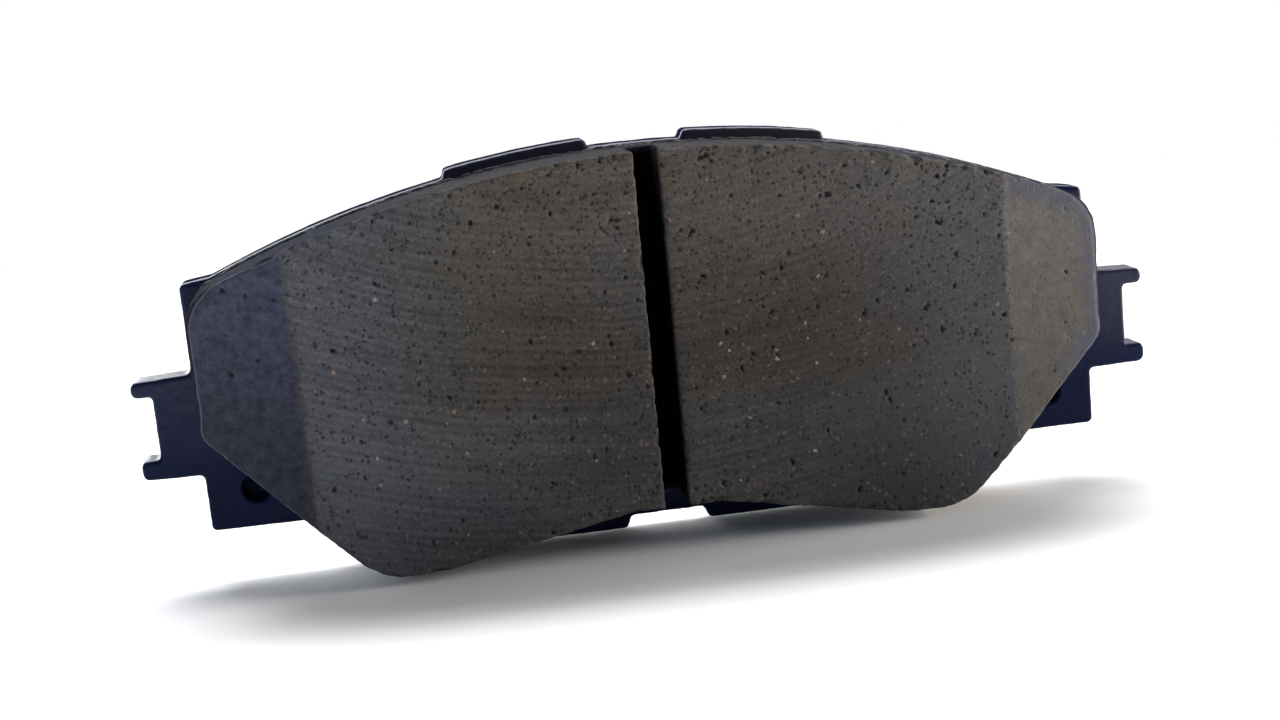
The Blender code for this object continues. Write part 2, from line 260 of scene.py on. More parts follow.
def blob(field, axes, centre_x, centre_z, radius, depth, rng):
    """Adds one ragged hollow to a height field."""
    for k in range(rng.integers(1, 4)):
        off_x, off_z = rng.normal(0.0, 0.55 * radius, 2) if k else (0.0, 0.0)
        size = radius * (rng.uniform(0.35, 0.8) if k else 1.0)
        stretch, turn = rng.uniform(0.65, 1.5), rng.uniform(0.0, math.pi)
        lobes, phase = rng.integers(2, 6), rng.uniform(0.0, 6.28)
        reach = 2.2 * size
        mid_x, mid_z = centre_x + off_x, centre_z + off_z
        i0, i1 = np.searchsorted(axes[0], (mid_x - reach, mid_x + reach))
        j0, j1 = np.searchsorted(axes[2], (mid_z - reach, mid_z + reach))
        if i1 - i0 < 1 or j1 - j0 < 1:
            continue
        x, z = np.meshgrid(axes[0][i0:i1] - centre_x - off_x,
                           axes[2][j0:j1] - centre_z - off_z, indexing="ij")
        along = (x * math.cos(turn) + z * math.sin(turn)) * stretch
        across = (-x * math.sin(turn) + z * math.cos(turn)) / stretch
        ragged = 1.0 + 0.22 * np.cos(lobes * np.arctan2(across, along) + phase)
        distance = np.sqrt(along * along + across * across) / size * ragged
        dip = depth * (0.7 if k else 1.0) * smooth(1.25 - distance, 0.0, 0.6)
        field[i0:i1, j0:j1] = np.maximum(field[i0:i1, j0:j1], dip)


# --------------------------------------------------------------------- meshes
def surface(field, axes):
    """Surface-net mesh of field = 0: one vertex per crossed cell, one quad per crossed edge."""
    field = field.astype(np.float32)
    inside = field < 0
    shape = [n - 1 for n in field.shape]
    strides = np.array((shape[1] * shape[2], shape[2], 1))
    ids, points, quads = [], [], []
    for axis in range(3):
        low = [slice(None)] * 3
        high = [slice(None)] * 3
        low[axis], high[axis] = slice(0, -1), slice(1, None)
        low, high = tuple(low), tuple(high)
        edges = np.argwhere(inside[low] != inside[high])
        first, second = field[low][tuple(edges.T)], field[high][tuple(edges.T)]
        crossing = np.stack([axes[k][edges[:, k]] for k in range(3)], 1)
        step = axes[axis][edges[:, axis] + 1] - axes[axis][edges[:, axis]]
        crossing[:, axis] += first / (first - second) * step
        stride_b, stride_c = strides[(axis + 1) % 3], strides[(axis + 2) % 3]
        base = edges @ strides
        ring = np.stack([base + b * stride_b + c * stride_c
                         for b, c in ((-1, -1), (0, -1), (0, 0), (-1, 0))], 1)
        inward = first >= 0
        ring[inward] = ring[inward][:, ::-1]
        ids.append(ring.T.ravel())
        points.append(np.tile(crossing, (4, 1)))
        quads.append(ring)
    ids, points = np.concatenate(ids), np.concatenate(points)
    total = shape[0] * shape[1] * shape[2]
    count = np.bincount(ids, minlength=total)
    used = np.nonzero(count)[0]
    verts = np.stack([np.bincount(ids, points[:, k], minlength=total)[used]
                      for k in range(3)], 1)
    verts /= count[used][:, None]
    remap = np.zeros(total, np.int64)
    remap[used] = np.arange(len(used))
    return verts, remap[np.concatenate(quads)]


def sample(field, axes, x, z):
    """Value of an x, z field at scattered points, bilinear."""
    def place(axis, value):
        i = np.clip(np.searchsorted(axis, value) - 1, 0, len(axis) - 2)
        return i, np.clip((value - axis[i]) / (axis[i + 1] - axis[i]), 0.0, 1.0)
    i, part_x = place(axes[0], x)
    j, part_z = place(axes[2], z)
    return ((1 - part_x) * (1 - part_z) * field[i, j] + part_x * (1 - part_z) * field[i + 1, j]
            + (1 - part_x) * part_z * field[i, j + 1] + part_x * part_z * field[i + 1, j + 1])


def piece(name, material, verts, quads, attributes, flat):
    """Object from a surface net. `flat` marks vertices on hidden flat areas, which are
    gathered into 3 mm clusters so that no faces are spent there."""
    touching = np.bincount(quads.ravel(), minlength=len(verts))
    level = quads[flat[quads].all(1)]
    inner = flat & (np.bincount(level.ravel(), minlength=len(verts)) == touching)
    cluster = (np.floor(verts[:, 0] / 3.0).astype(np.int64) * 4096
               + np.floor(verts[:, 2] / 3.0).astype(np.int64) * 2 + (verts[:, 1] > -6.9))
    group = np.arange(len(verts)) + (1 << 40)
    group[inner] = cluster[inner]
    _, group = np.unique(group, return_inverse=True)
    count = np.bincount(group)
    verts = np.stack([np.bincount(group, verts[:, k]) / count for k in range(3)], 1)
    quads = group[quads]
    # drop repeated corners, then keep faces that still have three or four
    same = quads == np.roll(quads, 1, axis=1)
    corners = 4 - same.sum(1)
    kept = corners >= 3
    loops = quads[kept][~same[kept]]
    corners = corners[kept]
    starts = np.concatenate(([0], np.cumsum(corners)[:-1]))
    mesh = bpy.data.meshes.new(name)
    mesh.vertices.add(len(verts))
    mesh.vertices.foreach_set("co", ((verts + DATUM) * MM).astype(np.float32).ravel())
    mesh.loops.add(len(loops))
    mesh.loops.foreach_set("vertex_index", loops.astype(np.int32))
    mesh.polygons.add(len(corners))
    mesh.polygons.foreach_set("loop_start", starts.astype(np.int32))
    mesh.update(calc_edges=True)
    mesh.validate()
    for key, values in attributes.items():
        values = np.bincount(group, np.asarray(values, np.float64)) / count
        layer = mesh.attributes.new(key, "FLOAT", "POINT")
        layer.data.foreach_set("value", values.astype(np.float32))
    mesh.shade_smooth()
    mesh.materials.append(material)
    made = bpy.data.objects.new(name, mesh)
    SCENE.collection.objects.link(made)
    return made


# -------------------------------------------------------------- shader helper
class Shader:
    """A Principled material and short ways to add nodes to it. Sizes are millimetres."""

    def __init__(self, name):
        self.material = bpy.data.materials.new(name)
        self.material.use_nodes = True
        self.tree = self.material.node_tree
        self.tree.nodes.clear()
        self.out = self.node("OutputMaterial")
        self.bsdf = self.node("BsdfPrincipled")
        self.put(self.out.inputs[0], self.bsdf.outputs[0])
        place = self.node("TexCoord").outputs["Object"]
        self.mm = self.node("VectorMath", {0: place, "Scale": 1.0 / MM},
                            operation="SCALE").outputs[0]

    def put(self, socket, value):
        if isinstance(value, bpy.types.NodeSocket):
            self.tree.links.new(value, socket)
        elif isinstance(value, tuple) and len(value) == 3 and socket.type == "RGBA":
            socket.default_value = (*value, 1.0)
        else:
            socket.default_value = value

    def node(self, kind, inputs=None, **settings):
        made = self.tree.nodes.new("ShaderNode" + kind)
        for key, value in settings.items():
            setattr(made, key, value)
        for key, value in (inputs or {}).items():
            self.put(made.inputs[key], value)
        return made

    def math(self, operation, *values, clamp=False):
        return self.node("Math", dict(enumerate(values)), operation=operation,
                         use_clamp=clamp).outputs[0]

    def times(self, value, by):
        return self.math("MULTIPLY", value, by)

    def plus(self, one, two, clamp=False):
        return self.math("ADD", one, two, clamp=clamp)

    def minus(self, one, two):
        return self.math("SUBTRACT", one, two)

    def times_plus(self, value, by, add):
        return self.math("MULTIPLY_ADD", value, by, add)

    def noise(self, size, detail=2.0, rough=0.5, vector=None):
        return self.node("TexNoise", {"Vector": vector or self.mm, "Scale": 1.0 / size,
                                      "Detail": detail, "Roughness": rough}).outputs["Fac"]

    def shifted(self, amount, size, offset=0.0):
        """Coordinates pushed about by noise, for ragged outlines."""
        push = self.node("TexNoise", {"Vector": self.mm, "Scale": 1.0 / size, "Detail": 1.0})
        pushed = self.node("VectorMath", {0: push.outputs["Color"], 1: (amount,) * 3,
                                          2: self.mm}, operation="MULTIPLY_ADD")
        return self.node("VectorMath", {0: pushed.outputs[0],
                                        1: (offset, 0.7 * offset, 1.3 * offset)},
                         operation="ADD").outputs[0]

    def grains(self, size, ragged, reach, pick, extra=None):
        """Mask of scattered grains, and three random values per grain. `ragged` is passed
        to shifted, `reach` is where a grain fades out and in, `pick` which cells have one."""
        cell = self.node("TexVoronoi", {"Scale": 1.0 / size, "Vector": self.shifted(**ragged)})
        random = self.node("SeparateColor", {0: cell.outputs["Color"]}).outputs
        chance = random[0] if extra is None else self.plus(random[0], extra)
        mask = self.times(self.step(cell.outputs["Distance"], reach), self.step(chance, pick))
        return mask, random

    def span(self, value, band=(0.0, 1.0), out=(0.0, 1.0), **settings):
        """`value` mapped from the range `band` to the range `out`."""
        return self.node("MapRange", {"Value": value, "From Min": band[0], "From Max": band[1],
                                      "To Min": out[0], "To Max": out[1]},
                         **settings).outputs[0]

    def step(self, value, band):
        return self.span(value, band, interpolation_type="SMOOTHSTEP")

    def mix(self, factor, one, two, blend="MIX"):
        return self.node("Mix", {0: factor, 6: one, 7: two}, data_type="RGBA",
                         blend_type=blend).outputs[2]

    def over(self, under, upper, mask, amount=None):
        """`upper` laid over `under` where the mask is, thinned by `amount`."""
        return self.mix(mask if amount is None else self.times(mask, amount), under, upper)

    def mottled(self, dark, pale, band, **texture):
        return self.mix(self.span(self.noise(**texture), band), dark, pale)

    def tinted(self, colour, channels):
        tint = self.node("CombineColor", dict(enumerate(channels)))
        return self.mix(1.0, colour, tint.outputs[0], "MULTIPLY")

    def attribute(self, name):
        return self.node("Attribute", attribute_name=name).outputs["Fac"]

    def bump(self, height, distance, strength=1.0, normal=None):
        inputs = {"Strength": strength, "Distance": distance * MM, "Height": height}
        if normal is not None:
            inputs["Normal"] = normal
        return self.node("Bump", inputs).outputs[0]

    def done(self, colour, roughness, normal, specular):
        for key, value in (("Base Color", colour), ("Roughness", roughness),
                           ("Normal", normal), ("Specular IOR Level", specular),
                           ("Coat Roughness", 0.3)):
            self.put(self.bsdf.inputs[key], value)
        return self.material


# ------------------------------------------------------------------ materials
SLOT_SHADE = (0.0012, 0.0012, 0.0014)                                 # painted shade deep in the slot
WALL_DARK, WALL_PALE = (0.012, 0.013, 0.021), (0.033, 0.034, 0.046)
# ground face
FRICTION_COOL, FRICTION_WARM = (0.080, 0.077, 0.076), (0.090, 0.081, 0.070)
FRICTION_DARK, FRICTION_PALE = (0.050, 0.048, 0.046), (0.150, 0.142, 0.132)
FACE_SPECK, SMEARED = (0.022, 0.021, 0.022), (0.071, 0.069, 0.067)
FILLER_TAN, FILLER_GREY = (0.105, 0.088, 0.068), (0.110, 0.110, 0.108)
FILLER_RED, DARK_GRAIN = (0.130, 0.084, 0.074), (0.013, 0.013, 0.014)
# pin holes and the insides of pores are drawn dark as painted shade
PIN_HOLE_SHADE, PIT_SHADE = (0.007, 0.007, 0.008), (0.008, 0.008, 0.009)
COPPER, BRASS = (0.26, 0.165, 0.12), (0.30, 0.26, 0.20)
# ramps at the ends and bare walls
RAMP_DARK, RAMP_PALE = (0.066, 0.062, 0.057), (0.098, 0.091, 0.084)
# the left ramp: partly overspray, partly painted shade
COAT_SHADE_DARK, COAT_SHADE_PALE = (0.018, 0.021, 0.045), (0.062, 0.067, 0.108)
RAMP_SPECK, RAMP_STAIN = (0.03, 0.03, 0.034), (0.070, 0.058, 0.051)
# the second colour is a lighter edge, partly knocked bare and partly a painted highlight
RAMP_BRIM, KNOCKED_LIT_EDGE = (0.056, 0.061, 0.092), (0.150, 0.155, 0.185)
BARE_DARK, BARE_PALE = (0.024, 0.023, 0.023), (0.064, 0.061, 0.059)
# underlayer and plug ends
UNDER_SPECK, UNDER_GRAIN = (0.070, 0.070, 0.078), (0.010, 0.010, 0.012)
PLUG_DARK, PLUG_PALE = (0.0225, 0.0235, 0.0300), (0.0420, 0.0430, 0.0510)
PLUG_GRAIN = (0.012, 0.012, 0.015)
# bond film
FILM_DARK, FILM_PALE = (0.030, 0.030, 0.040), (0.135, 0.132, 0.135)
FILM_SPECK = (0.23, 0.22, 0.22)
# plate coat
PAINT_DARK, PAINT_PALE = (0.0040, 0.0068, 0.0315), (0.0056, 0.0088, 0.0375)
# the second colour here is painted shadow on the front tabs
PAINT_SPECK, PAINT_TAB_SHADOW = (0.050, 0.052, 0.070), (0.0024, 0.0038, 0.0200)
# first: painted shade inside the pip holes; second: paler along the top, with painted light on
# the right ear
PAINT_BORE_SHADE, PAINT_PALE_TOP_LIT_EAR = (0.0034, 0.0050, 0.0180), (0.034, 0.031, 0.041)
PAINT_EDGE = (0.0090, 0.0105, 0.0235)
# greyer colours for the back, a painted reflection of the bright surroundings
REAR_COAT_SHEEN_DARK, REAR_COAT_SHEEN_PALE = (0.0150, 0.0165, 0.0275), (0.0235, 0.0245, 0.0310)
# painted highlights on the pebbles' tops and painted shade between them
BEAD_HIGHLIGHT, BEAD_SHADE = (0.0460, 0.0465, 0.0540), (0.0070, 0.0080, 0.0150)
FRONT_TINT, REAR_TINT = (0.74, 0.82, 1.0), (0.95, 0.96, 1.0)
PAPER = (0.91, 0.91, 0.91)


def friction_material():
    mat = Shader("friction_compound")
    pit, groove, dense = mat.attribute("pit"), mat.attribute("groove"), mat.attribute("dense")
    cut = mat.attribute("cut")        # 1 on the ground face and its ramps, 0 on the walls
    broad = mat.noise(size=15.0, detail=3.0)
    medium = mat.noise(size=2.4, detail=3.0, rough=0.6)
    grain = mat.noise(size=0.55, detail=3.0, rough=0.65)
    fine = mat.noise(size=0.26, detail=2.0, rough=0.6)
    face = mat.mix(mat.step(broad, band=(0.38, 0.62)), FRICTION_COOL, FRICTION_WARM)
    face = mat.over(face, FRICTION_DARK, mat.span(medium, band=(0.35, 0.70), out=(0.0, 0.55)))
    face = mat.over(face, FRICTION_PALE, mat.span(grain, band=(0.50, 0.74), out=(0.0, 0.70)))
    face = mat.over(face, FACE_SPECK, mat.span(fine, band=(0.28, 0.46), out=(0.65, 0.0)))
    face = mat.over(face, SMEARED, mat.attribute("calm"), amount=0.55)
    # the grinding wheel's lines, as painted shade in the grooves and painted light on the ridges,
    # times the face tones, which are brighter towards the top, partly painted light and partly
    # dust
    lines = mat.times_plus(groove, by=-0.28, add=1.0)
    face = mat.tinted(face, [mat.times(lines, mat.attribute(part))
                             for part in ("tone_r", "tone_g", "tone_b")])
    # dull grains of filler in several tints
    dull, random = mat.grains(size=0.85, ragged={"amount": 0.55, "size": 0.5},
                              reach=(0.40, 0.26), pick=(0.80, 0.86))
    tint = mat.mix(random[1], FILLER_TAN, FILLER_GREY)
    tint = mat.over(tint, FILLER_RED, mat.step(random[2], band=(0.80, 0.86)))
    face = mat.over(face, tint, dull, amount=0.65)
    # coke and rubber: dark grains
    dark, _ = mat.grains(size=0.75, ragged={"amount": 0.60, "size": 0.45, "offset": 17.0},
                         reach=(0.44, 0.26), pick=(0.74, 0.80))
    face = mat.over(face, DARK_GRAIN, dark, amount=0.80)
    # pin holes, thicker where the block is more open: dark dots of painted shade with a dip in
    # the bump
    pin, _ = mat.grains(size=0.62, ragged={"amount": 0.42, "size": 0.35, "offset": 71.0},
                        reach=(0.36, 0.20), pick=(0.98, 1.06),
                        extra=mat.times(dense, by=0.45))
    face = mat.over(face, PIN_HOLE_SHADE, pin, amount=0.54)
    # bright flecks: copper, brass and pale mineral
    bright, random = mat.grains(size=1.15,
                                ragged={"amount": 0.80, "size": 0.6, "offset": 43.0},
                                reach=(0.30, 0.18), pick=(0.966, 0.970))
    fleck = mat.mix(mat.step(random[1], band=(0.45, 0.55)), COPPER, BRASS)
    face = mat.over(face, fleck, bright, amount=0.85)
    # ramps: smoother, cooler, blotchy; the left one is darker and bluer, partly overspray and
    # partly painted shade, as it faces away from the key light
    blot = mat.span(mat.noise(size=1.3, detail=4.0, rough=0.65), band=(0.32, 0.68))
    ramp = mat.mix(mat.attribute("coat_and_shade"), mat.mix(blot, RAMP_DARK, RAMP_PALE),
                   mat.mix(blot, COAT_SHADE_DARK, COAT_SHADE_PALE))
    ramp = mat.over(ramp, RAMP_SPECK, mat.span(fine, band=(0.28, 0.46), out=(0.5, 0.0)))
    # the ramp takes the painted shade of tone_r, darker towards its lower end
    ramp = mat.tinted(ramp, [mat.attribute("tone_r") for _ in range(3)])
    # a warm stain on the bare ramp, and a grey-blue border where it was rubbed over
    stain = mat.span(mat.noise(size=3.4, detail=4.0, rough=0.65),
                     band=(0.50, 0.66), out=(0.0, 0.80))
    bare_ramp = mat.minus(1.0, mat.attribute("coat_and_shade"))
    ramp = mat.over(ramp, RAMP_STAIN, stain, amount=bare_ramp)
    patchy = mat.span(mat.noise(size=1.6, detail=3.0, rough=0.6),
                      band=(0.3, 0.6), out=(0.45, 1.0))
    ramp = mat.over(ramp, RAMP_BRIM, mat.attribute("brim"), amount=patchy)
    colour = mat.over(face, ramp, mat.attribute("ramp"), amount=0.86)
    # painted shade inside the open pores
    colour = mat.over(colour, PIT_SHADE, pit, amount=0.80)
    # walls carry overspray of the plate's coat, less of it near the middle
    wall = mat.mottled(WALL_DARK, WALL_PALE, band=(0.36, 0.70), size=1.1, detail=4.0, rough=0.65)
    bare = mat.mottled(BARE_DARK, BARE_PALE, band=(0.34, 0.70), size=1.1, detail=4.0, rough=0.65,
                       vector=mat.shifted(amount=0.2, size=0.8, offset=31.0))
    wall = mat.over(wall, bare, mat.attribute("inboard"), amount=0.85)
    colour = mat.over(colour, wall, mat.span(cut, out=(1.0, 0.0)))
    # the sharp edge round the left, partly oversprayed ramp is lighter: partly knocked bare,
    # partly a painted highlight where it catches the light
    knocked_lit_edge = mat.times(mat.step(cut, band=(0.05, 0.40)), mat.step(cut, band=(1.0, 0.80)))
    knocked_lit_edge = mat.times(mat.times(knocked_lit_edge, mat.attribute("ramp")), mat.attribute("coat_and_shade"))
    colour = mat.over(colour, KNOCKED_LIT_EDGE, knocked_lit_edge, amount=0.55)
    # painted shade deep in the slot
    colour = mat.over(colour, SLOT_SHADE, mat.attribute("slot_shade"), amount=0.96)
    height = mat.plus(mat.times(grain, by=0.55), mat.times(fine, by=0.30))
    height = mat.minus(height, mat.times(groove, by=0.30))
    height = mat.minus(height, mat.times(dark, by=0.35))
    height = mat.minus(height, mat.times(pin, by=0.70))
    normal = mat.bump(height, distance=0.11, strength=0.9)
    rough = mat.span(mat.noise(size=0.8, detail=2.0), band=(0.3, 0.7), out=(0.74, 0.94))
    rough = mat.minus(rough, mat.times(bright, by=0.35))
    rough = mat.plus(rough, mat.span(cut, out=(0.25, 0.0)), clamp=True)
    return mat.done(colour, rough, normal, specular=mat.span(cut, out=(0.03, 0.30)))


def underlayer_material():
    mat = Shader("underlayer_compound")
    worn = mat.attribute("worn")      # 1 on the plug ends
    medium = mat.noise(size=1.7, detail=4.0, rough=0.65)
    grain = mat.noise(size=0.35, detail=3.0, rough=0.65)
    colour = mat.mix(mat.span(medium, band=(0.32, 0.68)), WALL_DARK, WALL_PALE)
    colour = mat.over(colour, UNDER_SPECK, mat.span(grain, band=(0.50, 0.75), out=(0.0, 0.5)))
    dark, _ = mat.grains(size=0.95, ragged={"amount": 0.7, "size": 0.6, "offset": 9.0},
                         reach=(0.42, 0.24), pick=(0.70, 0.80))
    colour = mat.over(colour, UNDER_GRAIN, dark, amount=0.8)
    # the coat runs over the plug ends too, a little thinner and duller
    ends = mat.mottled(PLUG_DARK, PLUG_PALE, band=(0.36, 0.72), size=0.9, detail=4.0, rough=0.7,
                       vector=mat.shifted(amount=0.3, size=0.8, offset=5.0))
    ends = mat.over(ends, PLUG_GRAIN, dark, amount=0.35)
    colour = mat.over(colour, ends, worn)
    # painted shade where the slot leaves the underlayer open
    colour = mat.over(colour, SLOT_SHADE, mat.attribute("slot_shade"), amount=0.97)
    height = mat.plus(mat.times(grain, by=0.8), mat.times(dark, by=-0.7))
    rough = mat.minus(mat.span(medium, out=(0.80, 0.96)), mat.times(worn, by=0.40))
    return mat.done(colour, rough, mat.bump(height, distance=0.16, strength=0.9),
                    specular=mat.span(worn, out=(0.04, 0.42)))


def film_material():
    mat = Shader("bond_resin")
    grain = mat.noise(size=0.25, detail=3.0, rough=0.6)
    colour = mat.mottled(FILM_DARK, FILM_PALE, band=(0.36, 0.64), size=1.2, detail=4.0, rough=0.7)
    colour = mat.over(colour, FILM_SPECK, mat.span(grain, band=(0.48, 0.68), out=(0.0, 0.8)))
    return mat.done(colour, mat.span(grain, out=(0.55, 0.85)),
                    mat.bump(grain, distance=0.12, strength=0.9), specular=0.15)


def paint_material():
    mat = Shader("powder_coat")
    peel = mat.noise(size=1.25, detail=2.0, rough=0.45)
    fine = mat.noise(size=0.45, detail=2.0, rough=0.5)
    broad = mat.noise(size=22.0, detail=2.0)
    specks = mat.noise(size=0.22, detail=2.0, rough=0.6)
    colour = mat.mix(mat.span(broad, band=(0.3, 0.7)), PAINT_DARK, PAINT_PALE)
    colour = mat.over(colour, PAINT_SPECK, mat.span(specks, band=(0.64, 0.82), out=(0.0, 0.4)))
    # painted shadow: the front of the plate darker towards the bottom, on the tabs below the
    # block
    colour = mat.over(colour, PAINT_TAB_SHADOW, mat.attribute("shade"), amount=0.32)
    # painted shade inside the blind holes behind the pips
    colour = mat.over(colour, PAINT_BORE_SHADE, mat.attribute("bore_shade"), amount=0.60)
    # paler along the top of the front, and on the right ear as painted light from the right
    colour = mat.over(colour, PAINT_PALE_TOP_LIT_EAR, mat.attribute("pale_top_lit_ear"),
                      amount=mat.span(broad, band=(0.3, 0.7), out=(0.55, 0.85)))
    colour = mat.over(colour, PAINT_EDGE, mat.attribute("edge"), amount=0.75)
    # the back's coat is drawn greyer as a painted reflection of the bright surroundings, pebbled,
    # with painted highlights on the pebbles and painted shade between them
    rear = mat.attribute("rear")
    beads = mat.noise(size=0.75, detail=2.0, rough=0.55)
    rear_coat_sheen = mat.mix(mat.span(broad, band=(0.3, 0.7)), REAR_COAT_SHEEN_DARK, REAR_COAT_SHEEN_PALE)
    rear_coat_sheen = mat.over(rear_coat_sheen, BEAD_HIGHLIGHT, mat.span(beads, band=(0.48, 0.70), out=(0.0, 0.6)))
    rear_coat_sheen = mat.over(rear_coat_sheen, BEAD_SHADE, mat.span(beads, band=(0.28, 0.46), out=(0.5, 0.0)))
    colour = mat.over(colour, rear_coat_sheen, rear)
    rough = mat.span(mat.noise(size=5.0, detail=3.0), band=(0.3, 0.7), out=(0.26, 0.38))
    rough = mat.plus(rough, mat.times(rear, by=0.08))
    shine = mat.times_plus(rear, by=0.14, add=mat.times(mat.attribute("gloss"), by=0.28))
    mat.put(mat.bsdf.inputs["Specular Tint"], mat.mix(rear, FRONT_TINT, REAR_TINT))
    pebble = mat.bump(mat.times(beads, rear), distance=0.32)
    height = mat.plus(mat.times(peel, by=1.0), mat.times(fine, by=0.35))
    normal = mat.bump(height, distance=0.10, strength=0.50, normal=pebble)
    return mat.done(colour, rough, normal, specular=shine)


def floor_material():
    """Paper sweep; far from the pad the camera sees it as the bright studio."""
    mat = Shader("floor_paper")
    distance = mat.node("VectorMath", {0: mat.mm}, operation="LENGTH").outputs["Value"]
    camera_ray = mat.node("LightPath").outputs["Is Camera Ray"]
    far = mat.times(mat.step(distance, band=(210.0, 480.0)), camera_ray)
    glow = mat.node("Emission", {0: (1.0, 1.0, 1.0, 1.0)})
    join = mat.node("MixShader", {0: far, 1: mat.bsdf.outputs[0], 2: glow.outputs[0]})
    mat.put(mat.out.inputs[0], join.outputs[0])
    shade = mat.mottled(PAPER, tuple(0.975 * part for part in PAPER), band=(0.3, 0.7),
                        size=60.0, detail=3.0)
    normal = mat.bump(mat.noise(size=1.2, detail=2.0), distance=0.01, strength=0.2)
    return mat.done(shade, roughness=0.85, normal=normal, specular=0.2)


# --------------------------------------------------------------- backing plate
def pip_distance(sign, x, z):
    return np.sqrt((x - sign * PIP_X) ** 2 + (z - PIP_Z) ** 2)


def make_plate(material):
    axes = (ticks((-77.3, -60.0, 0.30), (-60.0, 60.0, 0.42), (60.0, 77.3, 0.30)),
            ticks((-5.8, -4.2, 0.22), (-4.2, -1.4, 0.45), (-1.4, 2.0, 0.20)),
            ticks((-29.8, -22.0, 0.34), (-22.0, 6.0, 0.34), (6.0, 31.9, 0.42)))
    x, y, z = np.ix_(*axes)
    side = outline_sdf(plate_outline(), axes)[:, None, :]
    wave = (0.022 * noise(1.25, 5, x, y, z) + 0.012 * noise(0.75, 6, x, y, z)
            + 0.03 * flat_noise(9.0, 8, x, z))
    # the coat lies thinner and flatter under the moulded block
    covered = outline_sdf(block_outline(), axes)
    hidden = smooth(-covered[:, None, :], 0.6, 1.4) * (y < -2.6)
    solid = both(both(side, y + 0.02, edge=0.70), -PLATE_T - y, edge=0.40)
    solid = both(solid, -plug_sdf(x, z), edge=0.55)
    for sign in (-1.0, 1.0):
        radius = pip_distance(sign, x, z)
        pip = both(both(radius - PIP_R, y - PIP_H, edge=0.55), -1.5 - y, edge=0.1)
        solid = either(solid, pip, blend=0.7)
        # a low lip round the blind hole in the front
        lip = both(np.abs(radius - PIP_HOLE_R - 0.40) - 0.25, -PLATE_T - 0.05 - y, edge=0.10)
        lip = both(lip, y + PLATE_T - 1.0, edge=0.1)
        solid = either(solid, lip, blend=0.35)
        hole = both(radius - PIP_HOLE_R, y - (-PLATE_T + PIP_HOLE_D), edge=0.35)
        solid = both(solid, -hole, edge=0.35)
        # pocket with a sloping floor
        across = np.abs(x - sign * POCKET_X) - 0.5 * POCKET_W
        up = np.abs(z - POCKET_Z) - 0.5 * POCKET_W
        floor = -POCKET_D - y + 0.28 * (z - POCKET_Z - 0.5 * POCKET_W)
        well = both(both(across, up, edge=0.45), floor, edge=0.3)
        solid = both(solid, -well, edge=0.30)
    verts, quads = surface(solid + wave * (1.0 - hidden), axes)
    x, y, z = verts.T
    flat = (np.abs(y + PLATE_T) < 0.004) & (sample(covered, axes, x, z) < -1.8)
    # painted shade inside the pip holes, which also cuts their gloss
    bore_shade = np.zeros(len(verts))
    for sign in (-1.0, 1.0):
        bore_shade += (smooth(-pip_distance(sign, x, z), -PIP_HOLE_R - 0.15, -PIP_HOLE_R + 0.10)
                 * smooth(y, -PLATE_T + 0.35, -PLATE_T + 0.9) * (y < -0.9))
    # handled ears shine, the tabs below them are duller
    # (only the front: the back keeps one even finish)
    front = smooth(-y, 4.0, 4.9)
    gloss = 1.0 - (1.0 - 0.30 - 0.85 * smooth(z, -14.5, 3.0)) * front
    edge = (1.0 - front) * smooth(-y, 0.5, 1.2)
    gloss *= 1.0 - edge * (0.60 + 0.40 * smooth(z, 8.0, 16.0))
    # paler along the top of the front, and on the right ear as painted light from the right
    pale_top_lit_ear = np.maximum(smooth(z, 22.0, 28.0),
                      0.60 * smooth(x, 67.0, 72.0) * smooth(z, -12.0, -5.0)) * front
    return piece("plate_powder_coated", material, verts, quads,
                 {"bore_shade": bore_shade, "gloss": gloss * (1.0 - 0.8 * bore_shade), "pale_top_lit_ear": pale_top_lit_ear,
                  "rear": smooth(y, -1.0, -0.35), "edge": edge,
                  # painted shadow on the front, darker towards the bottom, on the tabs below the
                  # block
                  "shade": smooth(-z, 9.0, 16.0) * front}, flat)


# ------------------------------------------------------------------ bond film
def make_film(material):
    film_back = -PLATE_T + 0.12        # just inside the plate
    axes = ticks((-67.9, 67.9, 0.29)), ticks((-6.3, -4.9, 0.10)), ticks((-28.9, 30.4, 0.29))
    x, y, z = np.ix_(*axes)
    side = outline_sdf(block_outline(), axes)
    # flash squeezed out round the block, kept narrow along the dome
    crumb = 0.22 + 0.16 * flat_noise(3.0, 31, x, z) + 0.20 * noise(0.6, 32, x, y, z)
    dome_side = np.sqrt(x * x + (z - DOME_Z) ** 2) > DOME_R - 3.0
    crumb = np.clip(crumb, 0.0, np.where(dome_side, 0.26, 0.50))
    layer = np.maximum(y - film_back, FILM_FRONT - y)
    solid = both(side[:, None, :] - crumb, layer, edge=0.10)
    verts, quads = surface(np.maximum(solid, 0.4 - plug_sdf(x, z)), axes)
    x, y, z = verts.T
    flat = (sample(side, axes, x, z) < -0.9) & ((np.abs(y - FILM_FRONT) < 0.003)
                                                | (np.abs(y - film_back) < 0.003))
    return piece("bond_film_flash", material, verts, quads, {}, flat)


# ----------------------------------------------------------------- underlayer
def plug_hollows(axes):
    """Ragged hollows scattered over the plug ends."""
    rng = np.random.default_rng(77)
    hollows = np.zeros((len(axes[0]), len(axes[2])))
    for px, plug_r in PLUGS:
        for _ in range(22):
            angle = rng.uniform(0, 2 * math.pi)
            out = (plug_r - 0.8) * math.sqrt(rng.uniform(0, 1))
            blob(hollows, axes, px + out * math.cos(angle), out * math.sin(angle),
                 rng.uniform(0.30, 0.9), rng.uniform(0.08, 0.32), rng)
    return hollows


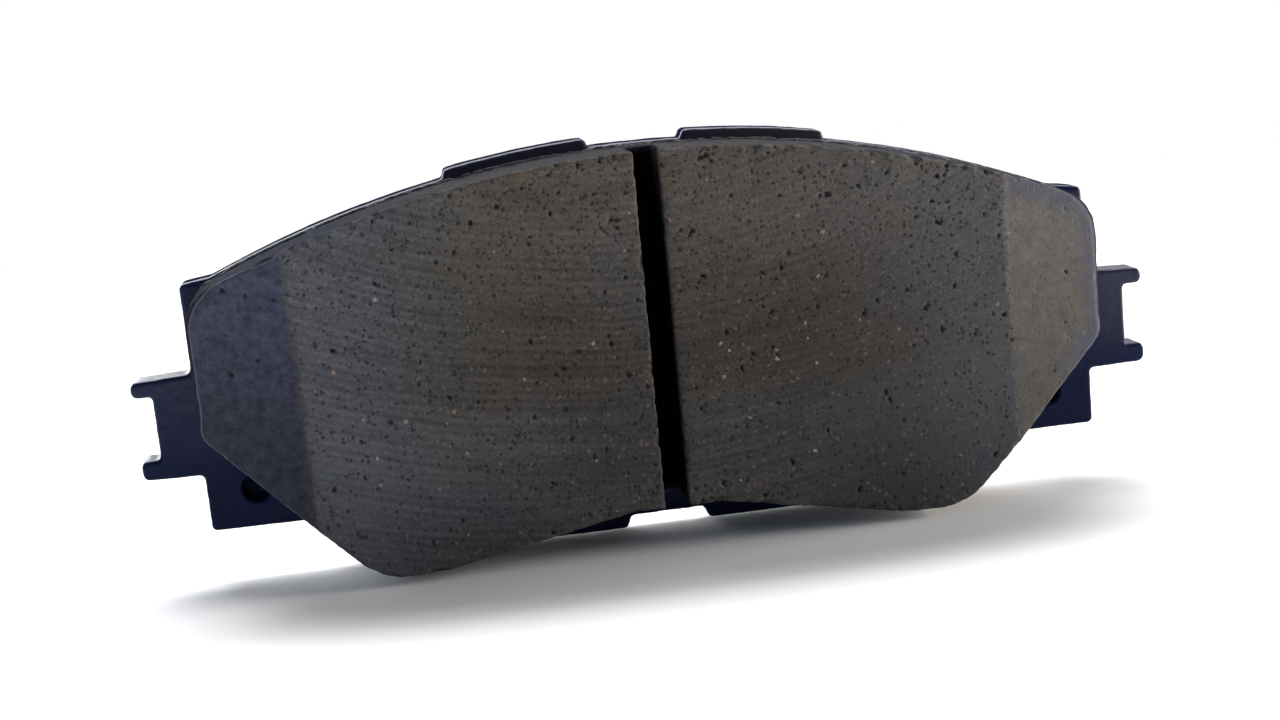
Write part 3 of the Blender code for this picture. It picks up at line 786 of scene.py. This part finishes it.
def make_underlayer(material):
    axes = (ticks((-67.6, 67.6, 0.27)),
            ticks((-8.7, -7.6, 0.20), (-7.6, -5.2, 0.28), (-5.2, -1.5, 0.46),
                  (-1.5, -0.2, 0.14)),
            ticks((-28.6, 30.2, 0.27)))
    x, y, z = np.ix_(*axes)
    side = outline_sdf(block_outline(), axes)
    rough = 0.05 * noise(1.1, 41, x, y, z) + 0.04 * noise(0.45, 42, x, y, z)
    # the front is rough only where the slot leaves it open
    open_slot = smooth(2.6 - np.abs(x), 0.0, 0.6)
    top = (UNDER_FRONT - y) + open_slot * (0.16 + 1.6 * rough + 0.12 * flat_noise(2.4, 43, x, z))
    base = both(both(side[:, None, :] + 0.10 + rough, top, edge=0.18),
                y - FILM_FRONT - 0.05, edge=0.10)
    end = (0.10 * flat_noise(3.2, 45, x, z) + 0.09 * flat_noise(0.9, 46, x, z)
           + 0.05 * flat_noise(0.5, 47, x, z) + 0.16 + plug_hollows(axes)[:, None, :])
    # compound pulls away from the hole in places
    gap = np.clip(flat_noise(2.0, 48, x, z), 0.0, 1.0) * 0.35
    core = both(both(plug_sdf(x, z, inset=0.16) + gap * smooth(y, -2.5, -1.0),
                     y + PLUG_SUNK - 0.10 + end, edge=0.35), -6.6 - y, edge=0.1)
    verts, quads = surface(np.minimum(base, core), axes)
    x, y, z = verts.T
    deep = sample(side, axes, x, z)
    flat = (deep < -0.9) & (((np.abs(y - UNDER_FRONT) < 0.003) & (np.abs(x) > 2.9))
                            | (np.abs(y - FILM_FRONT - 0.05) < 0.003))
    # painted shade on the underlayer deep in the slot
    slot_shade = smooth(-np.abs(x), -2.7, -2.2) * (y < -7.2) * smooth(-deep, 0.3, 1.5)
    return piece("underlayer_with_plugs", material, verts, quads,
                 {"worn": smooth(y, -2.2, -1.2), "slot_shade": slot_shade}, flat)


# ------------------------------------------------------------- friction blocks
def ground_face(sign, seed, axes):
    """Depth of the face behind FACE_Y, the wheel's arcs in it, and the distance
    outwards from where the ramp begins."""
    x, z = plan(axes)
    radius = np.sqrt((x - GRIND_X) ** 2 + (z - GRIND_Z) ** 2)
    wander = 0.22 * flat_noise(14.0, seed + 1, x, z)
    sweep = np.arctan2(x - GRIND_X, GRIND_Z - z) * 100.0
    patch = 0.45 + 0.55 * np.clip(0.5 + 0.9 * flat_noise(11.0, seed + 2, x, z), 0.0, 1.0)
    arcs = 0.024 * np.cos(2 * math.pi * (radius / GRIND_PITCH + wander))
    arcs += 0.022 * flat_noise(0.62, seed + 3, radius, sweep / 30.0)
    arcs += 0.012 * flat_noise(0.46, seed + 4, radius, sweep / 12.0)
    ramp = np.clip(np.abs(x) - CHAMFER_X - 0.3 + 0.22 * flat_noise(5.0, seed + 5, 0.0 * x, z)
                   + 0.16 * flat_noise(0.9, seed + 15, 0.3 * x, z), 0.0, None)
    on_ramp = smooth(ramp, 0.0, 0.5)
    if sign > 0:
        patch = patch * (1.0 - 0.5 * smooth(x, 10.0, 38.0))
    arcs = arcs * patch
    height = 0.04 + arcs * (1.0 - 0.75 * on_ramp)
    height += 0.018 * flat_noise(7.0, seed + 6, x, z) + 0.012 * flat_noise(1.4, seed + 7, x, z)
    height += ramp * CHAMFER_SLOPE + on_ramp * 0.02 * flat_noise(2.2, seed + 8, x, z)
    return height, arcs, ramp


def scatter_pores(sign, seed, axes):
    """Open pores, thickest towards the dome and the slot, thin on the ramp."""
    rng = np.random.default_rng(seed)
    pores = np.zeros((len(axes[0]), len(axes[2])))
    wanted = 560
    while wanted:
        x, z = sign * rng.uniform(SLOT_W / 2, BLOCK_END_X), rng.uniform(-28.0, 29.0)
        from_top = below_dome(x, z)
        near_top = math.exp(-max(from_top, 0.0) / 9.0)
        chance = (0.20 + 0.48 * near_top * (0.5 + 0.5 * math.exp(-abs(x) / 24.0))
                  + 0.62 * math.exp(-abs(x) / 9.0))
        if abs(x) > CHAMFER_X:
            chance *= 0.30
        if rng.uniform() > chance or from_top < 0:
            continue
        wanted -= 1
        big = rng.uniform() < 0.22
        radius = rng.uniform(0.20, 0.36) if big else rng.uniform(0.12, 0.20)
        depth = radius * rng.uniform(0.7, 1.4) * (1.0 if big else 1.25)
        blob(pores, axes, x, z, radius, depth, rng)
    return np.minimum(pores, 0.75)


def face_tones(sign, seed, x, z, ramped):
    """Red, green and blue brightness over the face and ramp."""
    out = np.abs(x)
    # each half's middle is darker than its top and its ends: brighter towards the top, partly
    # painted light from above and partly a lighter dusty band, and darker low on its outer part
    # as painted shade
    tone = (0.64 + 0.34 * smooth(z, -2.0, 27.0) + 0.24 * smooth(np.abs(x + 0.10 * z), 27.0, 50.0)
            + 0.08 * flat_noise(17.0, seed + 21, x, z))
    tone -= 0.20 * smooth(-z, 5.0, 26.0) * smooth(out, 8.0, 34.0)
    # the left half is paler in its middle, the right half along its top
    middle = np.exp(-((out - 25.0) / 12.0) ** 2 - (z / 11.0) ** 2)
    crest = np.exp(-((out - 20.0) / 15.0) ** 2 - ((z - 21.0) / 8.0) ** 2)
    crest_gain, middle_gain = (-0.09, 0.12) if sign < 0 else (0.12, -0.08)
    tone += crest_gain * crest + middle_gain * middle
    # painted shade: cool where positive, mostly on the left and low down, away from the warm key
    # light; warm where negative; none on the ramps
    cool = (smooth(-x, 16.0, 46.0)
            + 0.45 * smooth(-z, 2.0, 22.0) * (1.0 - 0.7 * np.exp(-out / 9.0))
            + 0.30 * smooth(x, 36.0, 52.0)
            + 0.50 * smooth(x, 34.0, 50.0) * smooth(-z, 12.0, 26.0)
            - 0.55 * (1.0 - smooth(out, 20.0, 44.0)) * (1.0 - smooth(-z, 0.0, 20.0))
            + 0.22 * flat_noise(9.0, seed + 22, x, z)) * (1.0 - ramped)
    # painted shade: the ramps darken towards their lower ends
    if sign < 0:
        fade = 0.54 + 0.86 * smooth(z, -14.0, 24.0)
    else:
        fade = 0.75 + 0.49 * smooth(z, -18.0, 20.0)
    tone += (fade - tone) * ramped
    green = tone * (1.0 + np.where(cool > 0, 0.07, 0.15) * cool)
    return tone, green, tone * (1.0 + 0.27 * cool)


def make_block(name, sign, material):
    """One half of the ground friction block; sign is -1 left, +1 right."""
    seed = 100 if sign < 0 else 200
    across = ticks((SLOT_W / 2.0 - 0.6, BLOCK_END_X + 0.6, 0.245))
    axes = (across if sign > 0 else -across[::-1],
            ticks((-17.7, -15.9, 0.16), (-15.9, -12.4, 0.32), (-12.4, -7.6, 0.44)),
            ticks((-28.6, 30.2, 0.245)))
    side = outline_sdf(block_outline(), axes)
    height, arcs, ramp = ground_face(sign, seed, axes)
    pores = scatter_pores(sign, seed, axes)
    face = height + pores

    x, y, z = np.ix_(*axes)
    wall = 0.035 * noise(1.6, seed + 9, x, y, z) + 0.030 * noise(0.55, seed + 10, x, y, z)
    draft = 0.012 * (UNDER_FRONT - y)
    outer = side[:, None, :] + 0.05 + wall + draft
    saw = (0.04 * noise(0.7, seed + 11, 0.0 * x, 2.5 * y, z)
           + 0.10 * np.clip(noise(0.8, seed + 12, x, 0.6 * y, z) - 0.25, 0.0, 1.0))
    if sign < 0:
        saw = saw + 0.16 * np.clip(noise(1.0, seed + 16, x, 0.5 * y, z) - 0.20, 0.0, 1.0)
    slot = SLOT_W / 2.0 - np.abs(x) + saw
    top = FACE_Y + face[:, None, :] - y
    # crumbled edges: chips bite deepest where the face meets a wall
    near = bell(-outer, 0.55) + bell(-slot, 0.5)
    chip = np.clip(noise(0.85, seed + 13, x, y, z) - 0.15, 0.0, 1.0) * 0.30
    chip += np.clip(noise(2.6, seed + 14, x, y, z) - 0.55, 0.0, 1.0) * 0.9
    top = top + chip * near * smooth(y, FACE_Y + 2.2, FACE_Y + 0.4)
    # the outer end of the block is rubbed over more than the rest of its edge
    worn_end = smooth(np.abs(x), 60.5, 65.0) * smooth(z, -7.0, -1.0)
    solid = both(top, both(outer, slot, edge=0.25), edge=0.26 + 1.15 * worn_end)
    solid = both(solid, y - UNDER_FRONT - 0.04, edge=0.05)
    verts, quads = surface(solid, axes)

    x, y, z = verts.T
    out = np.abs(x)
    edge = sample(side, axes, x, z)
    depth = y - (FACE_Y + sample(height, axes, x, z))
    # painted shade inside the open pores, set by their depth
    pit = (smooth(depth, 0.06, 0.26) * (depth < 1.1)
           * smooth(sample(pores, axes, x, z), 0.03, 0.16))
    cut = smooth(0.42 - (y - FACE_Y - sample(face, axes, x, z)), 0.0, 0.30)
    reach = sample(ramp, axes, x, z)
    ramped = smooth(reach, 0.0, 0.5)
    # handling has smeared the lower outer part of the face
    calm = smooth(-z, -8.0, 14.0) * smooth(out, 14.0, 34.0) * (1.0 if sign > 0 else 0.5)
    # groove also sets painted shade in the wheel's grooves and painted light on its ridges
    groove = np.clip(sample(arcs, axes, x, z) / 0.036, -1.0, 1.0)
    groove *= cut * (1.0 - 0.8 * ramped)
    if sign > 0:
        groove *= (1.0 - 0.35 * smooth(-z, -6.0, 12.0)) * (1.0 - 0.55 * smooth(x, 10.0, 38.0))
    dense = np.clip(0.30 + 0.60 * np.exp(-np.maximum(below_dome(x, z), 0.0) / 10.0)
                    + 0.35 * np.exp(-out / 12.0) - 0.35 * ramped, 0.0, 1.0)
    # tones holding painted light and shade as well as the face's own tone
    red, green, blue = face_tones(sign, seed, x, z, ramped)
    flat = (np.abs(y - UNDER_FRONT - 0.04) < 0.003) & (edge < -0.9) & (out > 2.6)
    return piece(name, material, verts, quads, {
        "pit": pit, "cut": cut, "ramp": smooth(reach, 0.0, 1.5), "groove": groove,
        "dense": dense, "tone_r": red, "tone_g": green, "tone_b": blue,
        # painted shade on the slot walls, deeper than the face
        "slot_shade": smooth(y - FACE_Y, 0.5, 3.0) * smooth(-out, -2.5, -2.1),
        "brim": smooth(edge, -4.6, -0.6) * smooth(z, -13.0, -3.0) * (sign > 0),
        "inboard": 1.0 - smooth(out, 24.0, 52.0), "calm": calm,
        # 1 on the left half, whose ramp is partly overspray and partly painted shade
        "coat_and_shade": np.full(len(verts), 1.0 if sign < 0 else 0.0)}, flat)


# --------------------------------------------------------------------- pieces
friction = friction_material()
plate = make_plate(paint_material())
film = make_film(film_material())
under = make_underlayer(underlayer_material())
left = make_block("friction_left_ground", -1.0, friction)
right = make_block("friction_right_ground", 1.0, friction)
for made, node, slot in (
    (plate, "backing_plate", "plate_paint"),
    (film, "bond_film", "bond_resin"),
    (under, "underlayer", "underlayer_compound"),
    (left, "friction_block_left", "friction_compound"),
    (right, "friction_block_right", "friction_compound"),
):
    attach(made, "root")
    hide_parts(node)

# ------------------------------------------------- floor, world, lights (metres)
SWEEP_START, SWEEP_TURN, SWEEP_R, SWEEP_TOP, SWEEP_HALF_W = -3.0, 0.9, 0.8, 3.0, 3.0


def make_floor(material):
    """Seamless floor and backdrop: flat, then a quarter turn up to a wall."""
    profile = [(SWEEP_START, 0.0), (SWEEP_TURN, 0.0)]      # y, z
    for k in range(1, 17):
        angle = math.radians(90.0 * k / 16)
        profile.append((SWEEP_TURN + SWEEP_R * math.sin(angle),
                        SWEEP_R - SWEEP_R * math.cos(angle)))
    profile.append((SWEEP_TURN + SWEEP_R, SWEEP_TOP))
    sheet = bmesh.new()
    near, far = [[sheet.verts.new((x, y, z)) for y, z in profile]
                 for x in (-SWEEP_HALF_W, SWEEP_HALF_W)]
    for a, b, c, d in zip(near, near[1:], far[1:], far):
        sheet.faces.new((a, d, c, b))
    bmesh.ops.recalc_face_normals(sheet, faces=sheet.faces)
    mesh = bpy.data.meshes.new("floor")
    sheet.to_mesh(mesh)
    sheet.free()
    mesh.shade_smooth()
    floor = bpy.data.objects.new("floor", mesh)
    floor.data.materials.append(material)
    SCENE.collection.objects.link(floor)


def make_world():
    """Dim cool light on the pad; the camera sees plain white."""
    world = bpy.data.worlds.new("studio")
    SCENE.world = world
    world.use_nodes = True
    tree = world.node_tree
    ambient = tree.nodes["Background"]
    ambient.inputs["Color"].default_value = (0.86, 0.92, 1.0, 1.0)
    ambient.inputs["Strength"].default_value = 0.07
    seen = tree.nodes.new("ShaderNodeBackground")
    seen.inputs["Color"].default_value = (1.0, 1.0, 1.0, 1.0)
    path = tree.nodes.new("ShaderNodeLightPath")
    blend = tree.nodes.new("ShaderNodeMixShader")
    tree.links.new(path.outputs["Is Camera Ray"], blend.inputs[0])
    tree.links.new(ambient.outputs[0], blend.inputs[1])
    tree.links.new(seen.outputs[0], blend.inputs[2])
    tree.links.new(blend.outputs[0], tree.nodes["World Output"].inputs[0])


PAD = (0.0, 0.0, 0.03)
LIGHTS = (   # name, place, width, height, power in watts, colour, point aimed at
    ("key_right", (0.70, -0.08, 0.10), 0.35, 0.35, 10.0, (1.0, 0.94, 0.86), PAD),
    ("above_back", (0.0, 0.38, 0.75), 0.80, 0.50, 8.0, (0.94, 0.96, 1.0), PAD),
    ("fill_left", (-0.60, -0.45, 0.30), 0.60, 0.60, 0.8, (0.42, 0.62, 1.0), PAD),
    ("rear", (-0.5, 0.9, 0.35), 0.60, 0.60, 5.0, (1.0, 1.0, 1.0), PAD),
    ("backdrop", (0.0, 0.50, 1.30), 1.6, 0.5, 28.0, (1.0, 1.0, 1.0), (0.0, 1.5, 0.2)),
)


def make_lights():
    for name, place, width, height, power, colour, aim in LIGHTS:
        data = bpy.data.lights.new(name, "AREA")
        data.shape = "RECTANGLE"
        data.size, data.size_y = width, height
        data.energy = power
        data.color = colour
        lamp = bpy.data.objects.new(name, data)
        lamp.location = place
        lamp.rotation_euler = (Vector(aim) - Vector(place)).to_track_quat("-Z", "Y").to_euler()
        SCENE.collection.objects.link(lamp)


make_floor(floor_material())
make_world()
make_lights()

# --------------------------------------------------------------------- camera
CAMERA_PLACE = (-34.5, -278.2, 51.5)      # millimetres from the datum
CAMERA_RIGHT = (0.9865, -0.13525, -0.09236)
CAMERA_AHEAD = (0.11552, 0.97438, -0.19297)
SENSOR_W, LENS = 36.0, 52.515


def make_camera():
    ahead = Vector(CAMERA_AHEAD).normalized()
    down = ahead.cross(Vector(CAMERA_RIGHT).normalized()).normalized()
    right = down.cross(ahead)
    turn = Matrix((right, -down, -ahead)).transposed()
    place = (Vector(CAMERA_PLACE) + Vector(DATUM)) * MM
    data = bpy.data.cameras.new("camera")
    data.sensor_width, data.lens = SENSOR_W, LENS
    data.clip_start, data.clip_end = 0.01, 20.0
    camera = bpy.data.objects.new("camera", data)
    camera.matrix_world = Matrix.Translation(place) @ turn.to_4x4()
    SCENE.collection.objects.link(camera)
    SCENE.camera = camera


make_camera()
SCENE.view_settings.view_transform = "Standard"
SCENE.view_settings.look = "None"
SCENE.view_settings.exposure = 0.0
